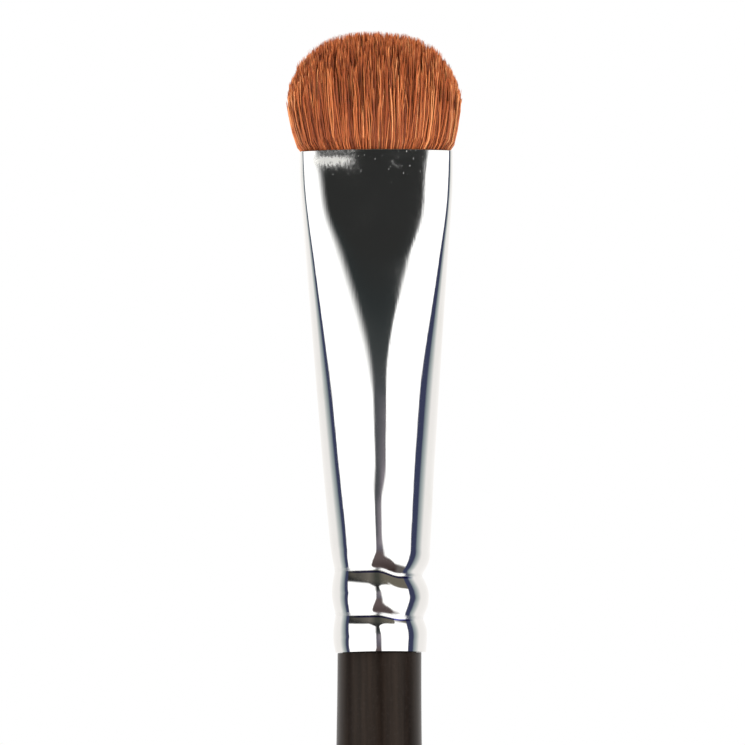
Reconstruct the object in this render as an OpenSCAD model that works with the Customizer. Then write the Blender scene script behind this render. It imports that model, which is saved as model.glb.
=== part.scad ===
// Flat eyeshadow brush: domed hair tuft, flattened ferrule with two rolled crimps, round lacquered handle.
// Upright, hair up, all lengths in mm. The origin is the centre of the handle's cylindrical grip stretch.

/* [Hair] */
// how far the hair stands out of the ferrule
hair_out = 9.4; // [7:0.1:13]
// how far the fanned hair overhangs the mouth at each side
side_flare = 0.8; // [0.2:0.05:1.5]
// how far the fanned hair overhangs the mouth at its front and back
face_flare = 0.6; // [0.2:0.05:1.2]
// height above the mouth where the hair stops spreading fast
fan_height = 2.6; // [1.5:0.1:3.2]
// lowest tips, at the rim of the dome
rim_height = 3.9; // [3.4:0.1:6]
// most that a strand falls short of the dome
tip_raggedness = 0.35; // [0:0.05:0.8]
// strands side by side across the width
strands_across = 32; // [20:1:36]
// rows of strands through the thickness
strand_rows = 12; // [8:1:13]
// how deep the tuft's own backing sits in the mouth
backing_depth = 0.8; // [0.4:0.1:2]
// how square the dome is across its width
dome_width_power = 2.5; // [2:0.1:4]
// how square the dome is through its thickness
dome_thickness_power = 2.2; // [2:0.1:4]
// how steeply the dome's rim falls
dome_rim_power = 0.4; // [0.3:0.05:0.7]
// share of the dome's fall that shows through its thickness
dome_thickness_share = 0.88; // [0.3:0.01:0.95]

/* [Hair root] */
// empty length of ferrule between the tenon's end and the resin plug
plug_lift = 6.5; // [3:0.1:7]
// depth of resin under the bundle's cut end
plug_cover = 1.5; // [0.5:0.1:2.5]
// how far the resin rises round the bundle
plug_soak = 3; // [1:0.1:3.5]
// bare hair between the resin and its binding
binding_lift = 0.9; // [0.5:0.05:1.5]
// gap between the tied waist and the ferrule's inside, at the sides
waist_side_gap = 1.1; // [0.5:0.05:1.5]
// gap between the tied waist and the ferrule's inside, at the front and back
waist_face_gap = 0.5; // [0.45:0.05:1]
// how far the cut end spreads beyond the waist
cut_end_spread = 0.25; // [0:0.05:0.5]
// thickness of the binding thread
thread_diameter = 0.3; // [0.2:0.02:0.34]
// turns of thread round the waist
thread_turns = 5; // [3:1:7]

/* [Ferrule] */
// length of the ferrule
ferrule_length = 40.2; // [30:0.1:50]
// outside width of the flattened mouth
mouth_width = 12.2; // [10:0.1:15]
// outside thickness of the flattened mouth
mouth_thickness = 4.4; // [3.5:0.1:6.5]
// outside diameter of the round barrel
barrel_diameter = 8; // [7:0.1:10]
// height of the round barrel
barrel_height = 7.8; // [7.6:0.1:10]
// sheet thickness
wall = 0.3; // [0.2:0.05:0.5]
// length of the parallel sides below the mouth
parallel_length = 2.6; // [1:0.1:5]
// length over which the taper rounds into the parallel sides
taper_blend = 3; // [1:0.5:5]
// how square the mouth's outline is
mouth_power = 7.3; // [3:0.1:9]
// how late the outline squares up
squaring_power = 1.9; // [1:0.1:3]
// share of the loft's height where the outline starts to square up
squaring_start_share = 0.38; // [0.2:0.01:0.6]
// share of the thickness taper that is even along the loft
even_taper_share = 0.36; // [0:0.05:1]
// share of the loft's height where the pressed flats start
press_start_share = 0.39; // [0.2:0.01:0.6]
// how late the pressed flats close in
press_power = 1.6; // [1:0.1:2.5]

/* [Crimps] */
// how far the upper rolled groove lies below the barrel's top
upper_groove_drop = 1.5; // [1.5:0.02:2]
// depth of the upper rolled groove
upper_groove_depth = 0.43; // [0.2:0.02:0.45]
// height of the lower rolled groove
lower_groove_height = 2.95; // [2.4:0.05:3.2]
// depth of the lower rolled groove
lower_groove_depth = 0.33; // [0.2:0.01:0.4]
// half the width of a rolled groove
groove_half_width = 1; // [0.7:0.05:1.2]
// height from which the barrel draws in towards the lip
draw_in_height = 6.6; // [4:0.1:7]
// how far the barrel draws in at the lip
draw_in_depth = 0.3; // [0:0.01:0.3]
// how late the barrel draws in
draw_in_power = 1; // [1:0.1:2]
// height of the lip's curl
curl_height = 0.5; // [0.3:0.05:0.8]
// how far the lip curls in
curl_depth = 0.15; // [0.05:0.01:0.2]

/* [Handle] */
// length of the whole brush
total_length = 175; // [150:1:210]
// how far the neck's edge stands inside the ferrule's lip
neck_step = 0.16; // [0.05:0.01:0.3]
// diameter of the belly, where the brush is held
belly_diameter = 7.6; // [7.2:0.1:9]
// length of the cylindrical grip stretch in the belly
grip_length = 12; // [8:1:20]
// height of the ferrule's lip above the grip stretch's middle
lip_height = 36; // [28:1:45]
// diameter at the tail end
tail_diameter = 4.8; // [4:0.1:6]
// height of the rounded tail end
tail_round = 2.3; // [1.5:0.1:3]
// how late the taper to the tail sets in
taper_power = 1.5; // [1:0.1:2.5]
// how far the tenon reaches past the ferrule's round barrel
tenon_reach = 4.3; // [2:0.1:6]
// bevel on the tenon's end
tenon_bevel = 0.5; // [0.2:0.1:1]
// thickness of the glue film in the crimps
glue_film = 0.06; // [0.03:0.01:0.1]

/* [Fit] */
// clearance between the tenon and the barrel's inside
tenon_clearance = 0.34; // [0.3:0.01:0.4]
// clearance between the hair and the ferrule's inside, and between the hair and its thread
hair_clearance = 0.03; // [0.02:0.01:0.1]
// clearance between the resin plug and the ferrule's inside
plug_clearance = 0.02; // [0.01:0.01:0.05]
// how far the loft's foot stays inside the barrel's sheet
loft_inset = 0.02; // [0.01:0.01:0.05]
// how deep the loft's foot sits in the barrel's sheet
loft_foot = 0.3; // [0.1:0.05:0.4]

/* [Hidden] */
$fn = 96;
barrel_radius = barrel_diameter / 2;
mouth_half_width = mouth_width / 2;
mouth_half_thickness = mouth_thickness / 2;
loft_height = ferrule_length - barrel_height;
parallel_start = ferrule_length - parallel_length;
taper_slope = (mouth_half_width - barrel_radius) / (parallel_start - barrel_height);
belly_radius = belly_diameter / 2;
tail_radius = tail_diameter / 2;
tenon_radius = barrel_radius - wall - tenon_clearance;
tenon_top = barrel_height + tenon_reach;
thread_radius = thread_diameter / 2;
half_grip = grip_length / 2;
mouth_height = lip_height + ferrule_length;
tail_height = mouth_height + hair_out - total_length;
upper_groove_height = barrel_height - upper_groove_drop;
// number of facets round a lofted outline
loft_sides = 48;
// number of steps up the ferrule's loft
loft_steps = 22;
// step exponent that puts more rings near the mouth
loft_step_power = 0.75;
// number of facets round the hidden root pieces
root_sides = 32;
// steps up the root bundle above its waist
root_steps = 8;
// steps up the crimped barrel's outline
crimp_steps = 40;
// steps that the glue film keeps clear of the barrel's ends
glue_inset_steps = 2;
// steps along each curved stretch of the handle
handle_steps = 18;
// steps round the tail end
tail_steps = 8;
// share of its cell that a strand fills at its foot, at the fan and near the tip
foot_share = 0.62;
fan_share = 0.66;
tip_share = 0.46;
// share of the way from the fan to the tip where the last ring sits
last_ring_share = 0.8;
// share of the spread that is reached at the fan
spread_share = 0.9;
// share of a cell by which rows of strands are moved to either side
stagger_share = 0.33;
// share of a cell that a tip keeps clear of at each side
tip_margin_share = 0.25;
// corners of the thread's cross-section
thread_sides = 5;
strand_seed = 7;

// Outline of the ferrule

function clamp(x, low, high) = max(low, min(high, x));
function smooth_step(x) = x * x * (3 - 2 * x);
function signed_power(x, p) = sign(x) * pow(abs(x), p);

// share of the loft's height at height z above the lip
function loft_share(z) = clamp((z - barrel_height) / loft_height, 0, 1);

// outside half width, an even taper rounded into parallel sides
function ferrule_half_width(z) =
    let (left = parallel_start - z)
    let (half_blend = taper_blend / 2)
    let (even = barrel_radius + taper_slope * max(0, z - barrel_height))
    left > half_blend ? even
    : left < -half_blend ? mouth_half_width
    : even - taper_slope * pow(half_blend - left, 2) / (4 * half_blend);

// outside half thickness, a slight even taper and then the pressed flats
function ferrule_half_thickness(z) =
    let (share = loft_share(z))
    let (pressed = pow(clamp((share - press_start_share) / (1 - press_start_share), 0, 1), press_power))
    let (drop = even_taper_share * share + (1 - even_taper_share) * pressed)
    barrel_radius - (barrel_radius - mouth_half_thickness) * drop;

// exponent of the outline, 2 where it is oval
function outline_power(z) =
    let (share = clamp((loft_share(z) - squaring_start_share) / (1 - squaring_start_share), 0, 1))
    2 + (mouth_power - 2) * pow(share, squaring_power);

// one closed outline at height z, drawn in from the ferrule's outside by a margin
function outline(z, margin, sides) =
    section(ferrule_half_width(z) - margin, ferrule_half_thickness(z) - margin, outline_power(z), z, sides);

function section(half_width, half_thickness, power, z, sides) = [
    for (k = [0 : sides - 1])
        let (turn = 360 * k / sides)
        [
            half_width * signed_power(cos(turn), 2 / power),
            half_thickness * signed_power(sin(turn), 2 / power),
            z
        ]
];

// depth of a rolled groove at height z
function groove(z, middle, depth) =
    abs(z - middle) < groove_half_width ? depth * pow(cos(90 * (z - middle) / groove_half_width), 2) : 0;

// outside radius of the crimped barrel
function barrel_outside(z) =
    let (drawn = draw_in_depth * pow(max(0, 1 - z / draw_in_height), draw_in_power))
    let (curl_share = clamp(1 - z / curl_height, 0, 1))
    let (curl = curl_depth * (1 - sqrt(1 - curl_share * curl_share)))
    barrel_radius - drawn - curl
    - groove(z, upper_groove_height, upper_groove_depth)
    - groove(z, lower_groove_height, lower_groove_depth);

function barrel_inside(z) = barrel_outside(z) - wall;

// outside radius of the tenon, dented where the crimps bite
function tenon_outside(z) = min(tenon_radius, barrel_inside(z) - glue_film);

function crimp_height(k) = barrel_height * k / crimp_steps;

// Closed solids from stacked outlines

function ring_faces(sides, low, high) = [
    for (k = [0 : sides - 1])
        let (next = (k + 1) % sides)
        each [
            [low + k, high + k, low + next],
            [low + next, high + k, high + next]
        ]
];

function flatten(lists) = [for (list = lists) each list];

// middle of an outline, used to close an end
function middle(points) = [0, 0, points[0][2]];

// a stack of outlines closed at both ends
module closed_stack(rings) {
    sides = len(rings[0]);
    last = len(rings) - 1;
    foot = len(rings) * sides;
    points = concat(flatten(rings), [middle(rings[0]), middle(rings[last])]);
    walls = flatten([for (k = [0 : last - 1]) ring_faces(sides, k * sides, (k + 1) * sides)]);
    foot_faces = [for (k = [0 : sides - 1]) [k, (k + 1) % sides, foot]];
    head_faces = [for (k = [0 : sides - 1]) [last * sides + (k + 1) % sides, last * sides + k, foot + 1]];
    polyhedron(points, concat(walls, foot_faces, head_faces), convexity = 4);
}

// a stack of outlines that returns to its first, for a tube with a wall
module ring_stack(rings) {
    sides = len(rings[0]);
    count = len(rings);
    walls = flatten([for (k = [0 : count - 1]) ring_faces(sides, k * sides, ((k + 1) % count) * sides)]);
    polyhedron(flatten(rings), walls, convexity = 4);
}

// Hair

nodes_across = strands_across + 1;
nodes_deep = strand_rows + 1;
mouth_inner_width = mouth_half_width - wall - hair_clearance;
mouth_inner_thickness = mouth_half_thickness - wall - hair_clearance;
// the outermost strands end short of their cells, so the cells reach a little wider than the hair
full_half_width = (mouth_half_width + side_flare) / (1 - (1 - tip_share) / strands_across);
full_half_thickness = (mouth_half_thickness + face_flare) / (1 - (1 - tip_share) / strand_rows);
fan_half_width = blend(mouth_inner_width, full_half_width, spread_share);
fan_half_thickness = blend(mouth_inner_thickness, full_half_thickness, spread_share);
strand_count = strands_across * strand_rows;
strand_chance = rands(0, 1, strand_count * 3, strand_seed);

// even square grid drawn onto the mouth's outline, both from -1 to 1
function spread(u, v) =
    let (size = max(abs(u), abs(v)))
    size == 0 ? [0, 0]
    : [u, v] * size / pow(pow(abs(u), mouth_power) + pow(abs(v), mouth_power), 1 / mouth_power);

// rows are moved sideways in turn, less towards the edges, so that no slit runs through the tuft
function grid(i, j) =
    let (u = 2 * i / strands_across - 1)
    let (side = j % 4 < 2 ? 1 : -1)
    let (shift = side * stagger_share * (1 - u * u) * 2 / strands_across)
    spread(u + shift, 2 * j / strand_rows - 1);

function at_mouth(p) = [p[0] * mouth_inner_width, p[1] * mouth_inner_thickness];
function at_fan(p) = [p[0] * fan_half_width, p[1] * fan_half_thickness];
function at_full(p) = [p[0] * full_half_width, p[1] * full_half_thickness];

function dome_height(p) =
    let (across = pow(1 - min(1, pow(abs(p[0]), dome_width_power)), dome_rim_power))
    let (deep = sqrt(1 - dome_thickness_share * pow(abs(p[1]), dome_thickness_power)))
    rim_height + (hair_out - rim_height) * across * deep;

function blend(a, b, share) = a + (b - a) * share;
function lift(p, z) = [p[0], p[1], mouth_height + z];

// the four corners of a strand's cell, turned so that neighbours differ
function cell(i, j) =
    let (turn = (i + j) % 4)
    let (corners = [[i, j], [i + 1, j], [i + 1, j + 1], [i, j + 1]])
    [for (k = [0 : 3]) corners[(k + turn) % 4]];

// a strand's three corners inside the four corners of its cell
function strand_corners(corners, middle_point, share) = [
    blend(middle_point, corners[0], share),
    blend(middle_point, corners[1], share),
    blend(middle_point, (corners[2] + corners[3]) / 2, share)
];

function average(points) = (points[0] + points[1] + points[2] + points[3]) / 4;

// where a strand's tip stands in its cell
function tip_place(corners, chance) =
    let (u = tip_margin_share + (1 - 2 * tip_margin_share) * chance[0])
    let (v = tip_margin_share + (1 - 2 * tip_margin_share) * chance[1])
    blend(blend(corners[0], corners[1], u), blend(corners[3], corners[2], u), v);

function strand_points(i, j) =
    let (n = 3 * (i * strand_rows + j))
    let (chance = [strand_chance[n], strand_chance[n + 1], strand_chance[n + 2]])
    let (grid_corners = [for (c = cell(i, j)) grid(c[0], c[1])])
    let (low = [for (p = grid_corners) at_mouth(p)])
    let (fan = [for (p = grid_corners) at_fan(p)])
    let (full = [for (p = grid_corners) at_full(p)])
    let (tip = tip_place(full, chance))
    let (tip_height = dome_height(average(grid_corners)) - tip_raggedness * chance[2])
    let (ring_height = blend(fan_height, tip_height, last_ring_share))
    [
        for (p = strand_corners(low, average(low), foot_share)) lift(p, 0),
        for (p = strand_corners(fan, average(fan), fan_share)) lift(p, fan_height),
        for (p = strand_corners(full, (average(full) + tip) / 2, tip_share)) lift(p, ring_height),
        lift(tip, tip_height)
    ];

points_per_strand = 10;
grid_point_count = nodes_across * nodes_deep;
grid_points = [
    for (i = [0 : strands_across])
        for (j = [0 : strand_rows])
            lift(at_mouth(grid(i, j)), 0)
];
edge_places = concat(
    [for (i = [0 : strands_across - 1]) [i, 0]],
    [for (j = [0 : strand_rows - 1]) [strands_across, j]],
    [for (i = [0 : strands_across - 1]) [strands_across - i, strand_rows]],
    [for (j = [0 : strand_rows - 1]) [0, strand_rows - j]]
);
edge_count = len(edge_places);
edge_points = [for (p = edge_places) lift(at_mouth(grid(p[0], p[1])), -backing_depth)];

function grid_index(c) = c[0] * nodes_deep + c[1];
function strand_index(i, j) = grid_point_count + edge_count + 1 + points_per_strand * (i * strand_rows + j);

// the backing's top round one strand
function cell_faces(q, s) = [
    [q[0], s + 1, q[1]],
    [q[0], s, s + 1],
    [q[1], s + 2, q[2]],
    [q[1], s + 1, s + 2],
    [q[2], s + 2, q[3]],
    [q[3], s, q[0]],
    [q[3], s + 2, s]
];

function strand_faces(s) = concat(
    ring_faces(3, s, s + 3),
    ring_faces(3, s + 3, s + 6),
    [for (k = [0 : 2]) [s + 6 + k, s + 9, s + 6 + (k + 1) % 3]]
);

module hair_tuft() {
    strands = flatten([
        for (i = [0 : strands_across - 1])
            for (j = [0 : strand_rows - 1])
                strand_points(i, j)
    ]);
    foot = [0, 0, mouth_height - backing_depth];
    points = concat(grid_points, edge_points, [foot], strands);
    tops = [
        for (i = [0 : strands_across - 1])
            for (j = [0 : strand_rows - 1])
                let (s = strand_index(i, j))
                each concat(cell_faces([for (c = cell(i, j)) grid_index(c)], s), strand_faces(s))
    ];
    edges = [
        for (k = [0 : edge_count - 1])
            let (next = (k + 1) % edge_count)
            let (low = grid_point_count + k)
            let (low_next = grid_point_count + next)
            let (high = grid_index(edge_places[k]))
            let (high_next = grid_index(edge_places[next]))
            each [
                [low, high, low_next],
                [low_next, high, high_next],
                [low, low_next, grid_point_count + edge_count]
            ]
    ];
    color([0.46, 0.21, 0.1])
        polyhedron(points, concat(tops, edges), convexity = 10);
}

// Hair root

root_top = ferrule_length - backing_depth;
plug_bottom = tenon_top + plug_lift;
bundle_bottom = plug_bottom + plug_cover;
plug_top = bundle_bottom + plug_soak;
thread_pitch = thread_diameter + hair_clearance;
half_binding = thread_turns * thread_pitch / 2 + thread_diameter;
waist_bottom = plug_top + binding_lift;
waist_height = waist_bottom + half_binding;
waist_top = waist_height + half_binding;
waist_half_width = ferrule_half_width(waist_top) - wall - waist_side_gap;
waist_half_thickness = ferrule_half_thickness(waist_top) - wall - waist_face_gap;

function waist_outline(z, margin) =
    section(waist_half_width + margin, waist_half_thickness + margin, 2, z, root_sides);

// the packed hair above its waist fills the ferrule more and more towards the mouth
function root_outline(z) =
    let (rise = clamp((z - waist_top) / (root_top - parallel_length - waist_top), 0, 1))
    let (filled = smooth_step(rise))
    section(
        ferrule_half_width(z) - wall - blend(waist_side_gap, hair_clearance, filled),
        ferrule_half_thickness(z) - wall - blend(waist_face_gap, hair_clearance, filled),
        blend(2, outline_power(z), filled),
        z,
        root_sides
    );

root_rings = concat(
    [waist_outline(bundle_bottom, cut_end_spread)],
    [waist_outline(plug_top, cut_end_spread)],
    [waist_outline(waist_bottom, 0)],
    [for (k = [0 : root_steps]) root_outline(blend(waist_top, root_top, k / root_steps))]
);

module root_bundle() {
    color([0.4, 0.18, 0.09])
        translate([0, 0, lip_height])
            closed_stack(root_rings);
}

// one cross-section of the thread at a step round the waist
function thread_ring(step) =
    let (turn = 360 * step / root_sides)
    let (rise = (step / root_sides - thread_turns / 2) * thread_pitch)
    let (reach = thread_radius + hair_clearance)
    [
        for (k = [0 : thread_sides - 1])
            let (corner = 360 * k / thread_sides)
            let (out = reach + thread_radius * cos(corner))
            [
                (waist_half_width + out) * cos(turn),
                (waist_half_thickness + out) * sin(turn),
                waist_height + rise + thread_radius * sin(corner)
            ]
    ];

module root_binding() {
    rings = [for (step = [0 : thread_turns * root_sides]) thread_ring(step)];
    count = len(rings);
    starts = [for (step = [0 : count - 1]) step * thread_sides];
    walls = flatten([for (k = [0 : count - 2]) ring_faces(thread_sides, starts[k + 1], starts[k])]);
    last = starts[count - 1];
    ends = [
        for (k = [1 : thread_sides - 2])
            each [
                [0, k + 1, k],
                [last, last + k, last + k + 1]
            ]
    ];
    color([0.85, 0.82, 0.72])
        translate([0, 0, lip_height])
            polyhedron(flatten(rings), concat(walls, ends), convexity = 10);
}

plug_rings = [
    outline(plug_bottom, wall + plug_clearance, root_sides),
    outline((plug_bottom + plug_top) / 2, wall + plug_clearance, root_sides),
    outline(plug_top, wall + plug_clearance, root_sides),
    root_rings[1],
    root_rings[0]
];

module root_glue() {
    color([0.8, 0.72, 0.5])
        translate([0, 0, lip_height])
            closed_stack(plug_rings);
}

// Ferrule

function loft_ring(k, margin) =
    let (z = barrel_height + loft_height * pow(k / loft_steps, loft_step_power))
    outline(z, margin, loft_sides);

function foot_ring(z, radius) = section(radius, radius, 2, z, loft_sides);

module ferrule() {
    heights = [for (k = [0 : crimp_steps]) crimp_height(k)];
    barrel_outline = concat(
        [for (z = heights) [barrel_outside(z), z]],
        [for (k = [crimp_steps : -1 : 0]) [barrel_inside(heights[k]), heights[k]]]
    );
    foot_outside = barrel_radius - loft_inset;
    foot_inside = barrel_radius - wall + loft_inset;
    outside = [for (k = [1 : loft_steps]) loft_ring(k, 0)];
    inside = [for (k = [0 : loft_steps - 1]) loft_ring(loft_steps - k, wall)];
    rings = concat(
        [foot_ring(barrel_height - loft_foot, foot_outside), foot_ring(barrel_height, foot_outside)],
        outside,
        inside,
        [foot_ring(barrel_height, foot_inside), foot_ring(barrel_height - loft_foot, foot_inside)]
    );
    color([0.82, 0.81, 0.79])
        translate([0, 0, lip_height])
            union() {
                rotate_extrude()
                    polygon(barrel_outline);
                ring_stack(rings);
            }
}

// Handle

glue_heights = [for (k = [glue_inset_steps : crimp_steps - glue_inset_steps]) crimp_height(k)];
glue_count = len(glue_heights);

module tenon_glue() {
    glue_outline = concat(
        [for (z = glue_heights) [barrel_inside(z), z]],
        [for (k = [glue_count - 1 : -1 : 0]) [tenon_outside(glue_heights[k]), glue_heights[k]]]
    );
    color([0.85, 0.8, 0.62])
        translate([0, 0, lip_height])
            rotate_extrude()
                polygon(glue_outline);
}

neck_radius = barrel_outside(0) - neck_step;

// the neck swells to the belly
function neck_outline(share) = [
    blend(belly_radius, neck_radius, 1 - pow(sin(90 * (1 - share)), 2)),
    blend(half_grip, lip_height, share)
];

// the belly tapers to the tail
function taper_outline(share) = [
    blend(belly_radius, tail_radius, pow(share, taper_power)),
    blend(-half_grip, tail_height + tail_round, share)
];

function tail_outline(share) = [
    tail_radius * cos(90 * share),
    tail_height + tail_round - tail_round * sin(90 * share)
];

module handle() {
    handle_outline = concat(
        [for (k = [0 : tail_steps]) tail_outline(1 - k / tail_steps)],
        [for (k = [1 : handle_steps]) taper_outline(1 - k / handle_steps)],
        [for (k = [0 : handle_steps]) neck_outline(k / handle_steps)],
        [[tenon_outside(0), lip_height]],
        [for (z = glue_heights) [tenon_outside(z), lip_height + z]],
        [[tenon_radius, lip_height + tenon_top - tenon_bevel]],
        [[tenon_radius - tenon_bevel, lip_height + tenon_top]],
        [[0, lip_height + tenon_top]]
    );
    color([0.05, 0.035, 0.03])
        rotate_extrude()
            polygon(handle_outline);
}

hair_tuft();
root_bundle();
root_binding();
root_glue();
ferrule();
tenon_glue();
handle();
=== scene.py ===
# Flat eyeshadow brush: a domed tuft of chestnut hair, a nickel ferrule pressed flat at its mouth
# and crimped twice, and a slim handle in dark satin lacquer. Metres, hair up.

import math

import bmesh
import bpy
import numpy as np
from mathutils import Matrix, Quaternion, Vector


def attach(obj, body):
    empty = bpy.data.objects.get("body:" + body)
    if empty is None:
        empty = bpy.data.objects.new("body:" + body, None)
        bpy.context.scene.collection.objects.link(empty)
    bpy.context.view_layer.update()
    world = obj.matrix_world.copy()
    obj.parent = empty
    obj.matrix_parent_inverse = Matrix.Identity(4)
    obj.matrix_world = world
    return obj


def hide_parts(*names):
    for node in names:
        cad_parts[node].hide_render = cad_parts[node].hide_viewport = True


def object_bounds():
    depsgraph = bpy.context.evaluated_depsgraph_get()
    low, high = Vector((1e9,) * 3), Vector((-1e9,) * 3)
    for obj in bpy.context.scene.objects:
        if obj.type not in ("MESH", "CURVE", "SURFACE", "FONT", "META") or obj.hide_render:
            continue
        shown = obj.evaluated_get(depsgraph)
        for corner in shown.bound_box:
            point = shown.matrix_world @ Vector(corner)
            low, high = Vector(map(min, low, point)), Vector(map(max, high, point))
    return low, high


mm = 0.001


# Shader maths


class Value:
    # a socket that takes part in sums; each sum adds its Math node
    def __init__(self, sheet, socket):
        self.sheet = sheet
        self.socket = socket

    def sum(self, operation, first, second):
        return self.sheet.add("ShaderNodeMath", {"operation": operation}, {0: first, 1: second})

    def __add__(self, other):
        return self.sum("ADD", self, other)

    def __radd__(self, other):
        return self.sum("ADD", other, self)

    def __sub__(self, other):
        return self.sum("SUBTRACT", self, other)

    def __rsub__(self, other):
        return self.sum("SUBTRACT", other, self)

    def __mul__(self, other):
        return self.sum("MULTIPLY", self, other)

    def __rmul__(self, other):
        return self.sum("MULTIPLY", other, self)

    def __truediv__(self, other):
        return self.sum("DIVIDE", self, other)

    def __neg__(self):
        return self.sum("MULTIPLY", self, -1.0)

    def __abs__(self):
        return self.sum("ABSOLUTE", self, 0.0)


class Sheet:
    # one node tree; add() makes any node, its settings first and its sockets after
    def __init__(self, tree):
        self.tree = tree
        tree.nodes.clear()

    def add(self, kind, settings={}, sockets={}, out=0):
        node = self.tree.nodes.new(kind)
        for name, setting in settings.items():
            if name == "stops":
                self.setStops(node.color_ramp, setting)
            else:
                setattr(node, name, setting)
        for name, given in sockets.items():
            if isinstance(given, Value):
                self.tree.links.new(given.socket, node.inputs[name])
            else:
                node.inputs[name].default_value = given
        return Value(self, node.outputs[out]) if node.outputs else None

    def setStops(self, ramp, stops):
        while len(ramp.elements) < len(stops):
            ramp.elements.new(0.5)
        for element, (place, colour) in zip(ramp.elements, stops):
            element.position = place
            element.color = (*colour, 1)

    def smooth(self, given, low, high):
        # 0 below low, 1 above high, eased in between
        settings = {"interpolation_type": "SMOOTHSTEP", "clamp": True}
        return self.add("ShaderNodeMapRange", settings, {"Value": given, "From Min": low, "From Max": high})

    def fade(self, given, low, high):
        # the reverse: 1 below low, 0 above high
        return 1 - self.smooth(given, low, high)

    def past(self, given, place, blur):
        # 0 before a place and 1 after it, with blur on both sides of it
        return self.smooth(given, place - blur, place + blur)

    def ramp(self, given, stops):
        return self.add("ShaderNodeValToRGB", {"stops": stops}, {0: given})

    def mix(self, share, first, second, blend="MIX"):
        # two colours; a plain colour is given as three numbers
        settings = {"data_type": "RGBA", "blend_type": blend, "clamp_factor": True}
        first = first if isinstance(first, Value) else (*first, 1)
        second = second if isinstance(second, Value) else (*second, 1)
        return self.add("ShaderNodeMix", settings, {0: share, 6: first, 7: second}, out=2)

    def parts(self, vector):
        return [self.add("ShaderNodeSeparateXYZ", {}, {0: vector}, out=axis) for axis in "XYZ"]

    def noise(self, vector, scale, detail=2.0, roughness=0.5):
        sockets = {"Vector": vector, "Scale": scale, "Detail": detail, "Roughness": roughness}
        return self.add("ShaderNodeTexNoise", {}, sockets)

    def stretched(self, vector, scale):
        return self.add("ShaderNodeMapping", {}, {"Vector": vector, "Scale": scale})

    def bump(self, height, strength, distance, under=None):
        sockets = {"Height": height, "Strength": strength, "Distance": distance}
        if under is not None:
            sockets["Normal"] = under
        return self.add("ShaderNodeBump", {}, sockets)


def newMaterial(name):
    material = bpy.data.materials.new(name)
    material.use_nodes = True
    return material, Sheet(material.node_tree)


def finishMaterial(sheet, sockets):
    shader = sheet.add("ShaderNodeBsdfPrincipled", {}, sockets)
    sheet.add("ShaderNodeOutputMaterial", {}, {"Surface": shader})


def objectPlace(sheet):
    return sheet.add("ShaderNodeTexCoord", out="Object")


# Modelling helpers


def startClean():
    if bpy.context.object and bpy.context.object.mode != "OBJECT":
        bpy.ops.object.mode_set(mode="OBJECT")
    bpy.ops.object.select_all(action="DESELECT")


def drawnTube(name, sides, rings, closed=False):
    # a circle drawn out ring by ring, then every ring laid on its own outline
    startClean()
    bpy.ops.mesh.primitive_circle_add(vertices=sides, radius=1, location=(0, 0, 0))
    piece = bpy.context.object
    piece.name = name
    bpy.ops.object.mode_set(mode="EDIT")
    bpy.ops.mesh.select_all(action="SELECT")
    for step in range(len(rings) - 1):
        bpy.ops.mesh.extrude_region_move()
    if closed:
        selectRings(piece, sides, [0, len(rings) - 1])
        bpy.ops.mesh.bridge_edge_loops()
    else:
        for ring in (0, len(rings) - 1):
            selectRings(piece, sides, [ring])
            bpy.ops.mesh.edge_face_add()
    bpy.ops.object.mode_set(mode="OBJECT")
    mesh = piece.data
    place = readPoints(mesh)
    turn = np.round(np.arctan2(place[:, 1], place[:, 0]) / (2 * np.pi) * sides).astype(int) % sides
    ring = np.arange(len(place)) // sides
    writePoints(mesh, np.array(rings)[ring, turn])
    return piece


def selectRings(piece, sides, wanted):
    edit = bmesh.from_edit_mesh(piece.data)
    for vert in edit.verts:
        vert.select_set(False)
    edit.verts.ensure_lookup_table()
    for ring in wanted:
        for vert in edit.verts[ring * sides : (ring + 1) * sides]:
            vert.select_set(True)
    edit.select_flush(True)
    bmesh.update_edit_mesh(piece.data)


def readPoints(mesh):
    place = np.zeros(len(mesh.vertices) * 3)
    mesh.vertices.foreach_get("co", place)
    return place.reshape(-1, 3)


def writePoints(mesh, place):
    mesh.vertices.foreach_set("co", np.asarray(place, float).ravel())
    mesh.update()


def shadeRound(piece, degrees):
    startClean()
    piece.select_set(True)
    bpy.context.view_layer.objects.active = piece
    bpy.ops.object.mode_set(mode="EDIT")
    bpy.ops.mesh.select_all(action="SELECT")
    bpy.ops.mesh.normals_make_consistent(inside=False)
    bpy.ops.object.mode_set(mode="OBJECT")
    bpy.ops.object.shade_smooth_by_angle(angle=math.radians(degrees))


def dress(piece, material, node):
    piece.data.materials.clear()
    piece.data.materials.append(material)
    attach(piece, "root")
    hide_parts(node)


def clamp(x):
    return np.minimum(1.0, np.maximum(0.0, x))


def easeInOut(x):
    return x * x * (3 - 2 * x)


def blend(first, second, share):
    return first + (second - first) * share


def turnsOf(sides):
    # the directions round a ring, counted from +X
    return np.arange(sides) * 2 * np.pi / sides


# Studio

camera = {
    "frameHeight": 59.6 * mm,  # what the photograph's height shows at the brush
    "distance": 662 * mm,
    "frameCentre": (-0.42 * mm, 0, 58.52 * mm),
    "elevation": -2.5,
    "azimuth": -2.56,
    "roll": 0.5,
    "sensorWidth": 36,
}


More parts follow.
